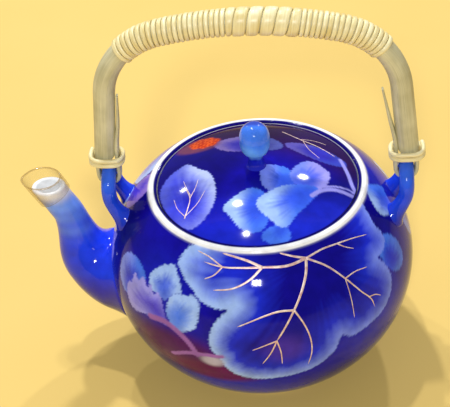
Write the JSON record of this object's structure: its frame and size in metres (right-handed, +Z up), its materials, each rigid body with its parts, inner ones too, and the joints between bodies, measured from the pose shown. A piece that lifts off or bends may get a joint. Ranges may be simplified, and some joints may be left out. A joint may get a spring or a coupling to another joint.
{
  "type": "teapot with bail handle",
  "caption": "Round porcelain teapot with a cobalt leaf pattern, drop-in lid, S-shaped spout with a clear slip-on guard, and a swinging bail of bent cane in shoulder lugs.",
  "frame": {"origin": "centre of the foot ring's resting face, on the table", "axes": "+Z up, -X towards the spout, the bail swings about a line along X through both lugs"},
  "size_m": [0.1811, 0.14, 0.1827],
  "materials": {
    "cobalt_glaze": "gloss",
    "bent_cane": "satin",
    "split_cane": "satin",
    "clear_sleeve": "gloss",
    "gilt": "satin"
  },
  "bodies": {
    "pot": {"pot_body": "cobalt_glaze", "spout": "cobalt_glaze", "lug_spout_side": "cobalt_glaze", "lug_back": "cobalt_glaze"},
    "lid": {"lid": "cobalt_glaze", "lid_knob": "cobalt_glaze"},
    "bail": {"handle_cane": "bent_cane", "wrap_spout_side": "split_cane", "wrap_middle": "split_cane", "wrap_back": "split_cane", "collar_spout_side": "split_cane", "collar_back": "split_cane"},
    "guard": {"spout_guard": "clear_sleeve"}
  },
  "joints": [
    {"name": "lid_lift", "type": "slide", "parent": "pot", "child": "lid", "axis": [0, 0, 1], "range_m": [0, 0.04]},
    {"name": "handle_swing", "type": "hinge", "parent": "pot", "child": "bail", "pos_m": [0, 0, 0.0939], "axis": [1, 0, 0], "range_deg": [-85, 85]},
    {"name": "guard_pull", "type": "slide", "parent": "pot", "child": "guard", "axis": [-0.4384, 0, 0.8988], "range_m": [0, 0.016]}
  ]
}
